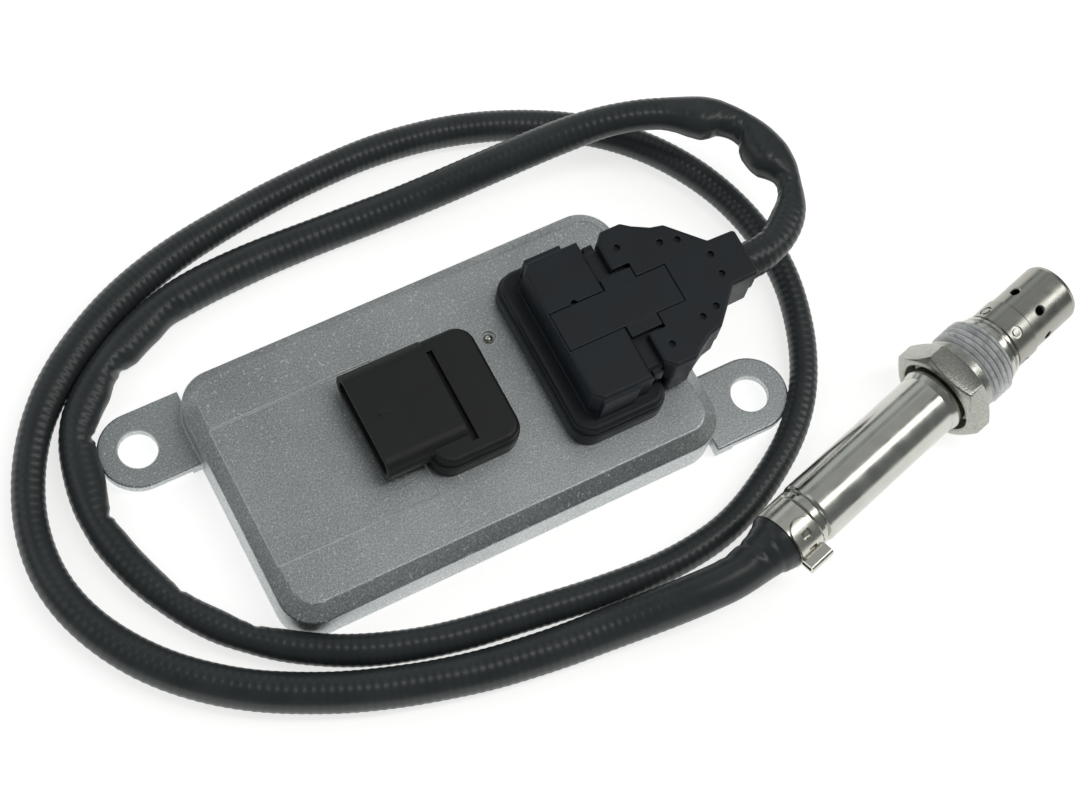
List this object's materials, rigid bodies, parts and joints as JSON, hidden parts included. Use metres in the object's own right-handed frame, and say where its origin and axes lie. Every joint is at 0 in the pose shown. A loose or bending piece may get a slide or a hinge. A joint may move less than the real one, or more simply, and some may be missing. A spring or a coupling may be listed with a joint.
{
  "type": "nitrogen oxide sensor",
  "caption": "Flat cast control unit with two moulded sockets; a coiled sleeved cable leads from its plug to a steel screw-in exhaust probe with a vented tip.",
  "frame": {"origin": "centre of the control unit's flat underside, midway between its two fixing holes", "axes": "+X along the unit's long side towards the cable's plug, +Y across it, +Z out of its top"},
  "size_m": [0.2432, 0.1426, 0.0295],
  "materials": {
    "die_cast_aluminium": "blasted, speckled die casting",
    "plate_aluminium": "plain rolled plate",
    "header_plastic": "fine matt black moulding",
    "plug_plastic": "matt black moulding, faintly blue",
    "black_rubber": "smooth black sleeve",
    "cable_sleeve": "thin black sleeve over a corrugated conduit",
    "grey_silicone": "soft silicone",
    "bright_steel": "bright stainless strip",
    "polished_steel": "polished stainless tube",
    "turned_steel": "turned stainless steel",
    "nut_steel": "satin stainless, grey paste on the thread",
    "cap_steel": "drawn heat proof stainless",
    "zinc_steel": "zinc plated",
    "can_aluminium": "drawn can",
    "tinned_brass": "tin plated contact",
    "circuit_laminate": "green solder mask",
    "chip_epoxy": "moulded epoxy",
    "ferrite": "sintered ferrite",
    "wire_insulation": "extruded insulation",
    "white_ceramic": "fired ceramic",
    "pressed_powder": "pressed talc"
  },
  "bodies": {
    "sensor_unit": {"housing": "die_cast_aluminium", "bottom_cover": "plate_aluminium", "cover_sealing_bead": "grey_silicone", "test_port_ball": "bright_steel", "circuit_board": "circuit_laminate", "board_screws": "zinc_steel", "microcontroller": "chip_epoxy", "sensor_drive_chip": "chip_epoxy", "bus_transceiver_chip": "chip_epoxy", "voltage_regulator": "chip_epoxy", "electrolytic_capacitors": "can_aluminium", "power_choke": "ferrite", "clock_crystal": "zinc_steel", "heater_switches": "chip_epoxy", "vehicle_header": "header_plastic", "vehicle_header_pins": "tinned_brass", "vehicle_header_seal": "grey_silicone", "sensor_header": "plug_plastic", "sensor_header_pins": "tinned_brass", "sensor_header_seal": "grey_silicone", "plug_housing": "plug_plastic", "plug_seal": "grey_silicone", "plug_terminals": "tinned_brass", "backshell_upper": "plug_plastic", "backshell_lower": "plug_plastic", "cable_grommet": "black_rubber", "plug_wires": "wire_insulation", "cable": "cable_sleeve", "cable_boot": "black_rubber", "ear_clamp": "bright_steel", "rear_tube": "polished_steel", "sensor_shell": "turned_steel", "outer_protection_cap": "cap_steel", "inner_protection_cap": "cap_steel", "sensing_element": "white_ceramic", "rear_insulator": "white_ceramic", "powder_packing": "pressed_powder", "front_insulator": "white_ceramic", "contact_holder": "white_ceramic", "element_contacts": "tinned_brass", "probe_grommet": "black_rubber", "probe_leads": "wire_insulation"},
    "nut": {"union_nut": "nut_steel"}
  },
  "joints": [
    {"name": "union_nut_turn", "type": "hinge", "parent": "sensor_unit", "child": "nut", "pos_m": [0.10993, -0.0426, 0.011], "axis": [0.9622, 0.2723, 0], "continuous": true}
  ]
}
